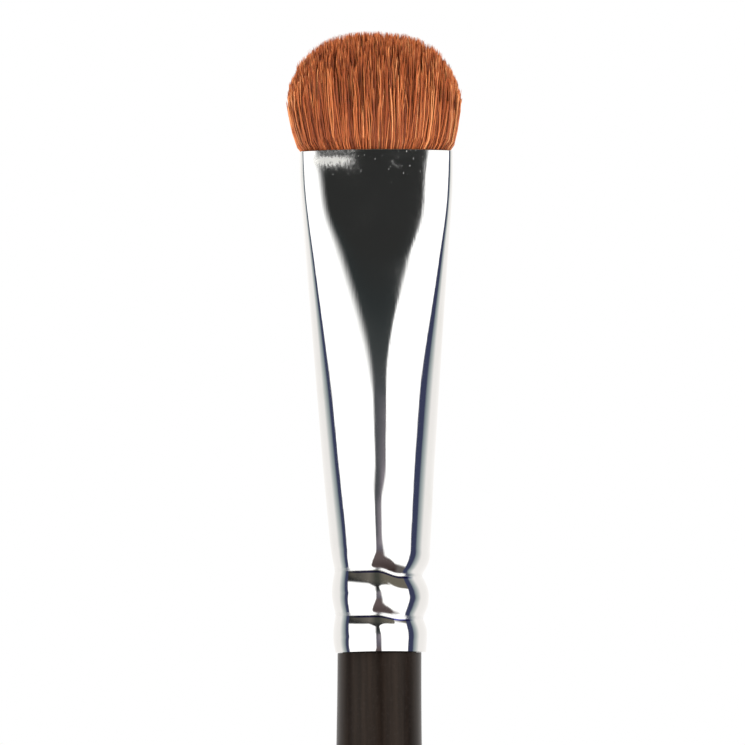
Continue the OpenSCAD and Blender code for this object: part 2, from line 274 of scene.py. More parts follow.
def makeCamera():
    data = bpy.data.cameras.new("photoCamera")
    data.sensor_width = camera["sensorWidth"]
    data.lens = data.sensor_width * camera["distance"] / camera["frameHeight"]
    holder = bpy.data.objects.new("photoCamera", data)
    bpy.context.scene.collection.objects.link(holder)
    turn, rise = math.radians(camera["azimuth"]), math.radians(camera["elevation"])
    back = Vector((math.sin(turn) * math.cos(rise), -math.cos(turn) * math.cos(rise), math.sin(rise)))
    holder.location = Vector(camera["frameCentre"]) + back * camera["distance"]
    lean = Quaternion((0, 0, 1), -math.radians(camera["roll"]))
    holder.rotation_mode = "QUATERNION"
    holder.rotation_quaternion = back.to_track_quat("Z", "Y") @ lean
    bpy.context.scene.camera = holder


# What the polished metal sees, in degrees round the brush from where the camera stands: two soft boxes
# with a dark gap between them, a dim ceiling and a brown table. The back has a smaller gap, high up.
# Between two degrees one thing turns into the next; those of the lower half are counted downwards.
room = {
    "gapLeft": -4.0,
    "gapRight": 12.7,
    "gapRise": 8.0,  # the rise at which the gap has these edges
    "leanSpan": (3, 17),  # where the gap leans, and how far its edges go for each degree
    "leanLeft": 0.075,
    "leanRight": 0.41,
    "leftBelow": (17, 44, 28),  # where an edge of the gap spreads outwards, and how far
    "leftAbove": (15.5, 20.5, 26),
    "rightBelow": (24, 39, 17),
    "rightAbove": (16, 24, 32),
    "leftBlur": (4, 6.5, 1.0, 3.2),  # where an edge's blur changes, from what to what
    "rightBlur": (3.3, 4.7, 2.5, 0.5),
    "boxEndLeft": -82.0,
    "boxEndRight": 73.5,
    "boxEndLean": 0.35,
    "boxEndBlur": 1.5,
    "boxTopLeft": 20.5,
    "boxTopRight": 27.0,
    "boxTopBlur": 1.2,
    "boxBottomLeft": -52.0,
    "boxBottomRight": -33.0,
    "boxBottomBlur": 2.0,
    "boxLight": 1.35,
    "gapStart": 3,  # the rise from which the gap's colours count, and how far they go
    "gapSpan": 12,
    "lowGap": (-3.2, 1),
    "glowSide": (-3, 13),
    "glowAbove": (3.7, 4.9),
    "glowBelow": (5, 14),
    "ceiling": (18, 24),
    "ceilingSpan": 160,  # how far its colours go, from the left to the right
    "table": (12, 24),
    "tableFront": (26, 46),
    "tableRight": (24, 46),
    "backdropSpan": 98,  # degrees that the backdrop's colours cover, and where in them each side starts
    "backdropLeft": 0.035,
    "backdropRight": 0.1,
    "backGap": (7, 10),  # half its width
    "backGapAbove": (4.5, 6),
    "fill": 0.55,
}
roomColours = {
    "gap": [
        (0.0, (0.09, 0.092, 0.106)),
        (0.17, (0.075, 0.08, 0.088)),
        (0.42, (0.05, 0.056, 0.057)),
        (0.67, (0.027, 0.032, 0.033)),
        (0.86, (0.026, 0.027, 0.0265)),
    ],
    "lowGap": (0.145, 0.135, 0.165),
    "glow": (0.26, 0.235, 0.265),
    "ceiling": [
        (0.0, (0.12, 0.11, 0.09)),
        (0.12, (0.085, 0.08, 0.07)),
        (0.3, (0.16, 0.145, 0.125)),
        (0.46, (0.06, 0.062, 0.052)),
        (0.56, (0.06, 0.062, 0.052)),
        (0.75, (0.16, 0.145, 0.115)),
    ],
    "tableBack": (0.13, 0.1, 0.1),
    "tableFront": (0.036, 0.023, 0.022),
    "tableRight": (0.135, 0.12, 0.115),
    "backdrop": [  # a navy slit, the grey turn and the backdrop itself
        (0.0, (0.045, 0.053, 0.11)),
        (0.055, (0.045, 0.053, 0.11)),
        (0.1, (0.24, 0.29, 0.31)),
        (0.19, (0.5, 0.54, 0.54)),
        (0.3, (0.93, 0.91, 0.895)),
        (1.0, (1.05, 1.03, 1.01)),
    ],
    "backGap": (0.026, 0.027, 0.0265),
}
degree = math.degrees(1)


def spread(sheet, height, limits):
    low, high, reach = limits
    return sheet.smooth(height, low, high) * reach


def changingBlur(sheet, height, limits):
    low, high, first, last = limits
    return first + sheet.smooth(height, low, high) * (last - first)


def boxHeight(sheet, rise, lifted, top, bottom):
    under = 1 - sheet.past(lifted, top, room["boxTopBlur"])
    return under * sheet.past(rise, bottom, room["boxBottomBlur"])


def softBoxes(sheet, side, rise, endLeft):
    # where the two boxes shine; the gap between them is wider towards the table and the ceiling
    r = room
    low, high = r["leanSpan"]
    level = sheet.add("ShaderNodeClamp", {}, {"Value": rise, "Min": low, "Max": high}) - r["gapRise"]
    left = r["gapLeft"] - level * r["leanLeft"]
    left = left - spread(sheet, -rise, r["leftBelow"]) - spread(sheet, rise, r["leftAbove"])
    right = r["gapRight"] - level * r["leanRight"]
    right = right + spread(sheet, -rise, r["rightBelow"]) + spread(sheet, rise, r["rightAbove"])
    leftBox = sheet.smooth((left - side) / changingBlur(sheet, rise, r["leftBlur"]), -1, 2.5)
    rightBox = sheet.smooth((side - right) / changingBlur(sheet, rise, r["rightBlur"]), -1, 1)
    leftBox = leftBox * sheet.past(side - endLeft, 0, r["boxEndBlur"])
    rightBox = rightBox * sheet.past(r["boxEndRight"] - side, 0, r["boxEndBlur"])
    # their tops are level, so they look lower towards the sides
    lifted = rise / sheet.add("ShaderNodeMath", {"operation": "COSINE"}, {0: side * (0.5 / degree)})
    leftBox = leftBox * boxHeight(sheet, rise, lifted, r["boxTopLeft"], r["boxBottomLeft"])
    rightBox = rightBox * boxHeight(sheet, rise, lifted, r["boxTopRight"], r["boxBottomRight"])
    return leftBox + rightBox


def darkRoom(sheet, side, rise):
    # the gap, hazier low down and pale to the right there, then the ceiling and the table
    r, colours = room, roomColours
    dark = sheet.ramp((rise - r["gapStart"]) * (1 / r["gapSpan"]), colours["gap"])
    dark = sheet.mix(sheet.smooth(-rise, *r["lowGap"]), dark, colours["lowGap"])
    glow = sheet.smooth(side, *r["glowSide"]) * sheet.fade(rise, *r["glowAbove"])
    glow = glow * sheet.fade(-rise, *r["glowBelow"])
    dark = sheet.mix(glow, dark, colours["glow"])
    ceiling = sheet.ramp(side * (1 / r["ceilingSpan"]) + 0.5, colours["ceiling"])
    dark = sheet.mix(sheet.smooth(rise, *r["ceiling"]), dark, ceiling)
    table = sheet.mix(sheet.smooth(-rise, *r["tableFront"]), colours["tableBack"], colours["tableFront"])
    table = sheet.mix(sheet.smooth(side, *r["tableRight"]), table, colours["tableRight"])
    return sheet.mix(sheet.smooth(-rise, *r["table"]), dark, table)


def makeWorld():
    world = bpy.data.worlds.new("studio")
    world.use_nodes = True
    bpy.context.scene.world = world
    sheet = Sheet(world.node_tree)
    x, y, z = sheet.parts(sheet.add("ShaderNodeTexCoord", out="Generated"))
    side = sheet.add("ShaderNodeMath", {"operation": "ARCTAN2"}, {0: x, 1: -y}) * degree
    side = side - camera["azimuth"]
    rise = sheet.add("ShaderNodeMath", {"operation": "ARCSINE"}, {0: z}) * degree
    endLeft = room["boxEndLeft"] - abs(rise) * room["boxEndLean"]
    boxes = softBoxes(sheet, side, rise, endLeft)
    seen = sheet.mix(boxes, darkRoom(sheet, side, rise), (room["boxLight"],) * 3)
    beyondBoxes = (
        (endLeft - side, room["backdropLeft"]),
        (side - room["boxEndRight"], room["backdropRight"]),
    )
    for beyond, start in beyondBoxes:
        backdrop = sheet.ramp(beyond * (1 / room["backdropSpan"]) - start, roomColours["backdrop"])
        seen = sheet.mix(sheet.past(beyond, 0, room["boxEndBlur"]), seen, backdrop)
    backGap = sheet.fade(180 - abs(side), *room["backGap"])
    backGap = backGap * sheet.smooth(rise, *room["backGapAbove"])
    seen = sheet.mix(backGap, seen, roomColours["backGap"])

    ray = sheet.add("ShaderNodeLightPath", out="Is Camera Ray")
    shiny = sheet.add("ShaderNodeLightPath", out="Is Glossy Ray")
    through = sheet.add("ShaderNodeLightPath", out="Is Transmission Ray")
    colour = sheet.mix(shiny, (room["fill"],) * 3, seen)
    colour = sheet.mix(ray + through, colour, (1, 1, 1))
    background = sheet.add("ShaderNodeBackground", {}, {"Color": colour, "Strength": 1.0})
    sheet.add("ShaderNodeOutputWorld", {}, {"Surface": background})


lamps = {
    "leftBox": {"place": (-0.75, -0.55, 0.3), "size": (0.5, 0.7), "power": 8.4},
    "rightBox": {"place": (0.8, -0.5, 0.32), "size": (0.5, 0.7), "power": 9.4},
    "topBox": {"place": (0.0, -0.15, 0.95), "size": (0.4, 0.4), "power": 3.6},
}
lampAim = (0, 0, 0.06)


def makeLamps():
    aim = Vector(lampAim)
    for name, lamp in lamps.items():
        data = bpy.data.lights.new(name, "AREA")
        data.shape = "RECTANGLE"
        data.size, data.size_y = lamp["size"]
        data.energy = lamp["power"]
        holder = bpy.data.objects.new(name, data)
        bpy.context.scene.collection.objects.link(holder)
        holder.location = lamp["place"]
        holder.rotation_euler = (aim - Vector(lamp["place"])).to_track_quat("-Z", "Y").to_euler()
        holder.visible_glossy = False  # the metal sees the room above instead


floorLooks = {
    "size": 8,
    "colours": ((0.86, 0.86, 0.85), (0.9, 0.9, 0.89)),
    "mottle": 300,
    "fade": (0.12, 0.4),  # how far from the brush it turns into the white of the background
}


def makeFloor(height):
    startClean()
    bpy.ops.mesh.primitive_plane_add(size=floorLooks["size"], location=(0, 0, height))
    floor = bpy.context.object
    floor.name = "floor"
    floor.visible_glossy = False
    material, sheet = newMaterial("paleFloor")
    place = objectPlace(sheet)
    x, y, _ = sheet.parts(place)
    colour = sheet.mix(sheet.noise(place, floorLooks["mottle"]), *floorLooks["colours"])
    away = sheet.add("ShaderNodeMath", {"operation": "SQRT"}, {0: x * x + y * y})
    away = sheet.smooth(away, *floorLooks["fade"])
    away = away * sheet.add("ShaderNodeLightPath", out="Is Camera Ray")
    sockets = {
        "Base Color": sheet.mix(away, colour, (0, 0, 0)),
        "Roughness": 0.8,
        "Specular IOR Level": 0.0,
        "Emission Color": sheet.mix(away, (0, 0, 0), (1, 1, 1)),
        "Emission Strength": 1.0,
    }
    finishMaterial(sheet, sockets)
    floor.data.materials.append(material)


# Ferrule

ferrule = {
    "lip": 36.12 * mm,
    "length": 40.08 * mm,
    "barrelRadius": 3.98 * mm,
    "barrelHeight": 8.2 * mm,
    "facetTilt": 0.096,  # the barrel's front is pressed a little flat on one side
    "facetSpan": 0.28,
    "facetFull": 11.6 * mm,
    "facetEnd": 15 * mm,
    "mouthHalfWidth": 6.1 * mm,
    "mouthHalfThickness": 2.2 * mm,
    "wall": 0.3 * mm,
    "parallel": 2.6 * mm,
    "taperBlend": 3 * mm,
    "mouthPower": 7.3,
    "squaringPower": 1.88,
    "squaringStart": 0.383,
    "shoulder": 0.85,  # how much squarer it is where the funnel of the reflection widens
    "shoulderPlace": 0.76,
    "shoulderSpan": 0.11,
    "evenTaper": 0.357,
    "evenStart": 0.06,
    "pressStart": 0.388,
    "pressPower": 1.62,
    "drawInHeight": 6.6 * mm,
    "drawInDepth": 0.28 * mm,
    "lipHeight": 1.2 * mm,  # the last stretch is rolled in a little more, most on the left
    "lipDepth": 0.09 * mm,
    "lipLean": 0.6,
    "lipArch": 0.09 * mm,
    "lipArchHeight": 2 * mm,
    # height left and right, depth in front, what the right has more, where it has it, and the reach
    "grooves": [
        {
            "left": 6.62 * mm,
            "right": 6.14 * mm,
            "depth": 0.48 * mm,
            "lean": 0.155 * mm,
            "turn": 1,
            "reach": 2.3 * mm,
        },
        {
            "left": 3.06 * mm,
            "right": 2.76 * mm,
            "depth": 0.32 * mm,
            "lean": 0.06 * mm,
            "turn": 3,
            "reach": 1.9 * mm,
        },
    ],
    "reachLean": 0.3,  # how much less it reaches on the right
    "grooveRound": 0.13 * mm,
    "stepStart": -0.1,  # where the roller's step from left to right lies, as shares of the radius
    "stepEnd": 0.4,
    "sway": 0.08 * mm,
    "swayHeight": 16 * mm,
    "mouthArch": 0.12 * mm,
    "mouthArchHeight": 8 * mm,
    "rimBead": 0.05 * mm,
    "sides": 192,
    "crimpStep": 0.06 * mm,  # between rings on the crimped barrel
    "loftRings": 84,
    "rimLead": (0.04 * mm, 0.01 * mm),  # the last two rings before the rim's bead
    "rimRings": 7,
    "innerRings": (30, 60),
}


def ferruleHalfWidth(z):
    f = ferrule
    slope = (f["mouthHalfWidth"] - f["barrelRadius"]) / (f["length"] - f["parallel"] - f["barrelHeight"])
    toParallel = f["length"] - f["parallel"] - z
    halfBlend = f["taperBlend"] / 2
    even = f["barrelRadius"] + slope * max(0, z - f["barrelHeight"])
    if toParallel > halfBlend:
        return even
    if toParallel < -halfBlend:
        return f["mouthHalfWidth"]
    return even - slope * (halfBlend - toParallel) ** 2 / (4 * halfBlend)


def ferruleHalfThickness(z):
    f = ferrule
    share = loftShare(z)
    pressed = clamp((share - f["pressStart"]) / (1 - f["pressStart"])) ** f["pressPower"]
    even = share**2 / (share + f["evenStart"]) * (1 + f["evenStart"])
    drop = f["evenTaper"] * even + (1 - f["evenTaper"]) * pressed
    return f["barrelRadius"] - (f["barrelRadius"] - f["mouthHalfThickness"]) * drop


def loftShare(z):
    f = ferrule
    return clamp((z - f["barrelHeight"]) / (f["length"] - f["barrelHeight"]))


def outlinePower(z):
    f = ferrule
    share = clamp((loftShare(z) - f["squaringStart"]) / (1 - f["squaringStart"]))
    shoulder = f["shoulder"] * math.exp(-(((share - f["shoulderPlace"]) / f["shoulderSpan"]) ** 2))
    return 2 + (f["mouthPower"] - 2) * share ** f["squaringPower"] + shoulder


def crimpDepth(z, turn):
    # how far the sheet lies inside the plain barrel, at height z and round the barrel
    f = ferrule
    drawn = f["drawInDepth"] * max(0, 1 - z / f["drawInHeight"])
    right = np.cos(turn)
    depth = drawn + f["lipDepth"] * (1 - f["lipLean"] * right) * clamp(1 - z / f["lipHeight"]) ** 2
    step = easeInOut(clamp((right - f["stepStart"]) / (f["stepEnd"] - f["stepStart"])))
    for groove in f["grooves"]:
        away = abs(z - blend(groove["left"], groove["right"], step))
        away = np.sqrt(away**2 + f["grooveRound"] ** 2) - f["grooveRound"]
        reach = groove["reach"] * (1 - f["reachLean"] * clamp(right) ** 3)
        rolled = clamp(1 - away / reach) ** 2
        depth = depth + (groove["depth"] + groove["lean"] * right ** groove["turn"]) * rolled
    return depth


def ferruleRing(z, margin):
    f = ferrule
    turn = turnsOf(f["sides"])
    power = outlinePower(z)
    crimped = crimpDepth(z, turn)
    across = ferruleHalfWidth(z) - margin - crimped
    deep = ferruleHalfThickness(z) - margin - crimped
    x = across * np.sign(np.cos(turn)) * abs(np.cos(turn)) ** (2 / power)
    y = deep * np.sign(np.sin(turn)) * abs(np.sin(turn)) ** (2 / power)
    phi = turn - 1.5 * np.pi
    facet = f["facetTilt"] * phi * np.exp(-((phi / f["facetSpan"]) ** 2))
    fade = 1 - easeInOut(clamp((z - f["facetFull"]) / (f["facetEnd"] - f["facetFull"])))
    y = y + f["barrelRadius"] * facet * fade
    atMouth = clamp((z - f["length"]) / f["mouthArchHeight"] + 1) ** 2
    atLip = clamp(1 - z / f["lipArchHeight"]) ** 2
    arch = f["mouthArch"] * atMouth * (1 - (x / f["mouthHalfWidth"]) ** 2)
    arch = arch + f["lipArch"] * atLip * (1 - (x / f["barrelRadius"]) ** 2)
    x = x + f["sway"] * math.sin(np.pi * clamp(z / f["swayHeight"])) ** 2
    return np.stack([x, y, f["lip"] + z + arch], 1)


def makeFerrule():
    # up the outside, over the rounded cut edge of the sheet and down the inside
    f = ferrule
    bead = f["length"] - f["rimBead"]
    lead, lastLead = f["rimLead"]
    heights = [(z, 0) for z in np.arange(0, f["barrelHeight"], f["crimpStep"])]
    heights += [(z, 0) for z in np.linspace(f["barrelHeight"], bead - lead, f["loftRings"])]
    heights.append((bead - lastLead, 0))
    middle = f["wall"] / 2
    for angle in np.linspace(0, np.pi, f["rimRings"] + 2)[1:-1]:
        heights.append((bead + f["rimBead"] * math.sin(angle), middle - middle * math.cos(angle)))
    loftInside, crimpsInside = f["innerRings"]
    heights += [(z, f["wall"]) for z in np.linspace(bead, f["barrelHeight"], loftInside)]
    heights += [(z, f["wall"]) for z in np.linspace(f["barrelHeight"], 0, crimpsInside)[1:]]
    rings = [ferruleRing(z, margin) for z, margin in heights]
    piece = drawnTube("ferruleShell", f["sides"], rings, closed=True)
    shadeRound(piece, 50)
    dress(piece, nickelPlate(), "ferrule")
    print("ferrule:", len(piece.data.polygons), "faces")


glueFilm = {
    "bottom": 0.4 * mm,
    "top": 11 * mm,
    "ringStep": 0.1 * mm,
    "clearOfTenon": 0.01 * mm,
    "clearOfSheet": 0.02 * mm,
}


def makeGlueFilm():
    # the glue between the tenon and the ferrule, in the grooves too
    f = ferrule
    turn = turnsOf(f["sides"])
    radius = handle["tenonRadius"] + glueFilm["clearOfTenon"]
    inner = radius * np.stack([np.cos(turn), np.sin(turn), 0 * turn], 1)
    heights = np.arange(glueFilm["bottom"], glueFilm["top"], glueFilm["ringStep"])
    rings = [ferruleRing(z, f["wall"] + glueFilm["clearOfSheet"]) for z in heights]
    rings += [inner + np.array([0, 0, f["lip"] + z]) for z in heights[::-1]]
    piece = drawnTube("glueFilm", f["sides"], rings, closed=True)
    shadeRound(piece, 40)
    dress(piece, setResin("tenonGlue", (0.6, 0.5, 0.3), (0.8, 0.74, 0.55)), "tenon_glue")


# What lies on the plate: distances across from its middle, and down from the mouth or from a groove.
# Over a pair of them it fades in or out.
plate = {
    "grain": (9000, 9000, 500),
    "bright": (0.88, 0.875, 0.86),
    "tarnished": (0.84, 0.835, 0.81),
    "groove": (0.12 * mm, 0.18 * mm),
    # the dark navy line just below each groove is painted shade
    "shadeLineTop": (0.14 * mm, 0.18 * mm),
    "shadeLineBottom": (0.24 * mm, 0.34 * mm),
    "shadeLineSide": (1.9 * mm, 2.7 * mm),
    "shadeLineColour": (0.06, 0.065, 0.34),
    "front": (-0.4 * mm, 0.4 * mm),
    "shake": 2.2 * mm,  # how ragged the glue is
    "glueTop": (0.3 * mm, 0.85 * mm),
    "glueBottom": (0.6 * mm, 1.6 * mm),
    "glueLeft": (-5.6 * mm, -4.8 * mm),
    "glueRight": (-2.9 * mm, -1.5 * mm),
    "glueColour": (0.8, 0.79, 0.74),
    "hazeMiddle": -3.2 * mm,
    "hazeSide": (0.7 * mm, 2.4 * mm),
    "hazeBottom": (-0.2 * mm, 2.5 * mm),
    "curlMiddle": -2 * mm,
    "curlLean": 0.15,
    "curlSide": (0.05 * mm, 0.5 * mm),
    "curlBottom": (0.8 * mm, 2.6 * mm),
    "cloudMiddle": 1.4 * mm,
    "cloudDepth": 1 * mm,
    "cloudSide": (0.1 * mm, 1.1 * mm),
    "cloudReach": (0.2 * mm, 1.1 * mm),
    "nickBottom": (0.6 * mm, 3.6 * mm),
}


def driedGlue(sheet, place, x, under):
    # ragged glue with a haze round it, a curl at its right and a faint cloud further right; gives
    # the glue, and how much duller all of it makes the metal
    p = plate
    fleck = sheet.noise(sheet.stretched(place, (7000, 7000, 2200)), 1, 5, 0.75)
    shake = (fleck - 0.5) * p["shake"]
    glue = sheet.smooth(under + shake * 0.4, *p["glueTop"]) * sheet.fade(under + shake, *p["glueBottom"])
    glue = glue * sheet.smooth(x, *p["glueLeft"]) * sheet.fade(x + shake * 0.7, *p["glueRight"])
    mottle = sheet.noise(sheet.stretched(place, (5500, 5500, 3500)), 1, 4, 0.65)
    mottle = sheet.smooth(mottle, 0.3, 0.75)
    haze = sheet.fade(abs(x - p["hazeMiddle"]), *p["hazeSide"])
    haze = haze * sheet.fade(under + shake * 0.3, *p["hazeBottom"])
    curl = sheet.fade(abs(x - p["curlMiddle"] - under * p["curlLean"]), *p["curlSide"])
    curl = curl * sheet.fade(under, *p["curlBottom"])
    cloud = sheet.smooth(sheet.noise(place, 1500, 3, 0.6), 0.34, 0.7)
    cloud = cloud * sheet.fade(abs(x - p["cloudMiddle"]), *p["cloudSide"])
    cloud = cloud * sheet.fade(abs(under - p["cloudDepth"]), *p["cloudReach"])
    dull = 0.2 * glue + 0.16 * cloud + (0.1 + 0.12 * mottle) * haze + 0.1 * mottle * curl
    return glue, dull


def nickelPlate():
    # bright plate with fine drawing lines, dull rolled grooves, and dried glue and nicks near the mouth
    f, p = ferrule, plate
    material, sheet = newMaterial("nickelPlate")
    place = objectPlace(sheet)
    x, y, z = sheet.parts(place)
    lines = sheet.noise(sheet.stretched(place, p["grain"]), 1, 2)
    tarnish = sheet.noise(place, 260, 3)
    rough = 0.04 + 0.04 * sheet.smooth(tarnish, 0.45, 0.75) + 0.03 * lines
    colour = sheet.mix(sheet.smooth(tarnish, 0.5, 0.8), p["bright"], p["tarnished"])

    # the roller leaves a dull line in each groove, and a thin dark navy line of painted shade lies under it
    step = sheet.smooth(x, f["stepStart"] * f["barrelRadius"], f["stepEnd"] * f["barrelRadius"])
    for groove in f["grooves"]:
        middle = f["lip"] + groove["left"] - step * (groove["left"] - groove["right"])
        rough = rough + 0.16 * sheet.fade(abs(z - middle), *p["groove"])
        below = middle - z
        shadeLine = sheet.smooth(below, *p["shadeLineTop"]) * sheet.fade(below, *p["shadeLineBottom"])
        shadeLine = shadeLine * sheet.fade(abs(x), *p["shadeLineSide"])
        colour = sheet.mix(shadeLine, colour, p["shadeLineColour"])

    under = f["lip"] + f["length"] - z
    front = sheet.fade(y, *p["front"])
    glue, dull = driedGlue(sheet, place, x, under)
    rough = rough + dull * front
    glue = glue * front
    colour = sheet.mix(glue * 0.8, colour, p["glueColour"])
    nicks = sheet.noise(sheet.stretched(place, (9500, 9500, 2200)), 1, 1)
    nicks = sheet.smooth(nicks, 0.71, 0.85) * sheet.fade(under, *p["nickBottom"])
    bump = sheet.bump(lines, 0.05, 0.02 * mm)
    bump = sheet.bump(sheet.noise(place, 220, 1), 0.015, 0.2 * mm, bump)
    bump = sheet.bump(nicks, 0.24, 0.014 * mm, bump)
    sockets = {"Base Color": colour, "Metallic": 1 - glue * 0.4, "Roughness": rough, "Normal": bump}
    finishMaterial(sheet, sockets)
    return material


# Handle

handle = {
    "bellyRadius": 3.8 * mm,
    "neckRadius": 3.35 * mm,
    "halfGrip": 6 * mm,
    "lip": ferrule["lip"],
    # how far it stands to the left at the lip, how much further lower down, and over what height
    "setOff": -0.056 * mm,
    "setOffBelow": -0.094 * mm,
    "setOffHeight": 7 * mm,
    "tail": -89.4 * mm,
    "tailRadius": 2.4 * mm,
    "tailRound": 2.3 * mm,
    "taperPower": 1.5,
    "tenonRadius": 2.95 * mm,
    "tenonTop": 48.1 * mm,
    "tenonBevel": 0.5 * mm,
    "shoulder": 0.03 * mm,  # how far the lacquer stops short of the ferrule's lip
    "sides": 96,
    "roundRings": 12,
    "taperRings": 34,
    "neckRings": 26,
}


def handleOutline():
    # radius and height, from the tail up to the top of the tenon
    h = handle
    points = []
    taperEnd = h["tail"] + h["tailRound"]
    for share in np.linspace(0.03, 1, h["roundRings"]):
        angle = math.pi / 2 * share
        points.append((h["tailRadius"] * math.sin(angle), taperEnd - h["tailRound"] * math.cos(angle)))
    for share in np.linspace(1, 0, h["taperRings"])[1:]:
        radius = blend(h["bellyRadius"], h["tailRadius"], share ** h["taperPower"])
        points.append((radius, blend(-h["halfGrip"], taperEnd, share)))
    for share in np.linspace(0, 1, h["neckRings"]):
        swell = 1 - math.sin(math.pi / 2 * (1 - share)) ** 2
        radius = blend(h["bellyRadius"], h["neckRadius"], swell)
        points.append((radius, blend(h["halfGrip"], h["lip"], share)))
    points[-1] = (h["neckRadius"], h["lip"] - h["shoulder"] * 2)
    points += [
        (h["neckRadius"] - h["shoulder"] * 0.3, h["lip"] - h["shoulder"]),
        (h["neckRadius"] - h["shoulder"], h["lip"] - h["shoulder"] * 0.5),
        (h["tenonRadius"], h["lip"] - h["shoulder"] * 0.5),
        (h["tenonRadius"], h["tenonTop"] - h["tenonBevel"]),
        (h["tenonRadius"] - h["tenonBevel"], h["tenonTop"]),
    ]
    return points


def makeHandle():
    h = handle
    turn = turnsOf(h["sides"])
    rings = []
    for radius, z in handleOutline():
        aside = h["setOff"] + h["setOffBelow"] * clamp((h["lip"] - z) / h["setOffHeight"])
        x, y = radius * np.cos(turn) + aside, radius * np.sin(turn)
        rings.append(np.stack([x, y, np.full(len(turn), z)], 1))
    piece = drawnTube("lacqueredHandle", h["sides"], rings)
    shadeRound(piece, 40)
    dress(piece, satinLacquer(), "handle")
    print("handle:", len(piece.data.polygons), "faces")


def satinLacquer():
    # dark brown lacquer over fine wood grain that still tells through it
    material, sheet = newMaterial("satinLacquer")
    place = objectPlace(sheet)
    grain = sheet.noise(sheet.stretched(place, (1500, 1500, 60)), 1, 5, 0.65)
    speckle = sheet.noise(place, 3800, 2)
    colour = sheet.mix(sheet.smooth(grain, 0.35, 0.7), (0.0056, 0.003, 0.0018), (0.013, 0.0078, 0.0052))
    colour = sheet.mix(0.3 * sheet.smooth(speckle, 0.5, 0.8), colour, (0.02, 0.015, 0.013))
    rough = 0.26 + 0.12 * speckle
    bump = sheet.bump(grain, 0.12, 0.02 * mm)
    bump = sheet.bump(speckle, 0.1, 0.01 * mm, bump)
    sockets = {"Base Color": colour, "Roughness": rough, "Normal": bump}
    finishMaterial(sheet, {**sockets, "Specular IOR Level": 0.2, "Specular Tint": (1, 0.91, 0.83, 1)})
    return material


# Hair

hair = {
    "mouth": 76.2 * mm,
    "rootDepth": 0.7 * mm,
    "out": 9.6 * mm,
    "rim": 3.75 * mm,
    "widthPower": 2.6,
    "thicknessPower": 2.2,
    "rimPower": 0.55,
    "thicknessShare": 0.76,
    "rootHalf": (5.72 * mm, 1.85 * mm),  # inside the ferrule's mouth
    "overhang": 0.36 * mm,  # how far it lies over the rim
    "overhangHeight": 0.13 * mm,
    "flare": (1.13 * mm, 0.8 * mm),  # how far it fans out above
    "flareHeight": 2.6 * mm,
    "upright": 0.22 * mm,  # how much less it fans out on the right
    "sway": -0.1 * mm,
    "squareness": 7.3,
    "rows": 2.6,  # strands across for each one through
    "count": 10000,
    "pieces": 3,
    "radius": 0.044 * mm,
    "thinnest": 0.75,
    "thickest": 1.25,
    "seed": 11,
    "shares": [0.0, 0.1, 0.25, 0.5, 0.75, 0.95, 1.0],  # rings along a hair, and how thick it is there
    "girths": [0.9, 1.0, 1.05, 1.0, 0.92, 0.7, 0.15],
    "freePower": 1.7,
    "shade": 1.3 * mm,  # how far below the tips the painted shade is darkest
}

# how the hairs part and meet: shares of their height, distances at the tip, and tones, with painted light
# that makes the side hairs lighter
locks = {
    "count": 1900,
    "across": 2.4,  # how much a step across counts against one through
    "shortOnes": 0.7,
    "shortest": 0.45,
    "looseOnes": 0.4,
    "shortestLoose": 0.5,
    "tipShake": 0.18 * mm,
    "loosePull": (-0.2, 0.2),  # towards the middle of the lock
    "pull": (0.3, 0.75),
    "lean": 0.17 * mm,
    "hairLean": 0.16 * mm,
    "wave": 0.05 * mm,
    "hairWave": 0.06 * mm,
    "waveHeight": 3 * mm,
    "tone": 0.4,
    "toneShake": 0.08,
    "hairToneShake": 0.27,
    "paintedEdgeLight": 0.22,
    "paintedRightLight": 0.05,
}


def strandPlaces(random, count):
    # even, slightly shaken rows over the mouth, from -1 to 1 both ways
    across = int(math.sqrt(count * hair["rows"]))
    deep = int(math.ceil(count / across))
    i, j = np.meshgrid(np.arange(across), np.arange(deep), indexing="ij")
    u = (i.ravel() + random.uniform(0.0, 1.0, i.size)) / across * 2 - 1
    v = (j.ravel() + random.uniform(0.0, 1.0, j.size)) / deep * 2 - 1
    size = np.maximum(abs(u), abs(v))
    n = hair["squareness"]
    squeeze = size / (abs(u) ** n + abs(v) ** n) ** (1 / n)
    return u * squeeze, v * squeeze


def domeHeight(u, v):
    across = (1 - clamp(abs(u) ** hair["widthPower"])) ** hair["rimPower"]
    deep = np.sqrt(1 - hair["thicknessShare"] * clamp(abs(v)) ** hair["thicknessPower"])
    return hair["rim"] + (hair["out"] - hair["rim"]) * across * deep


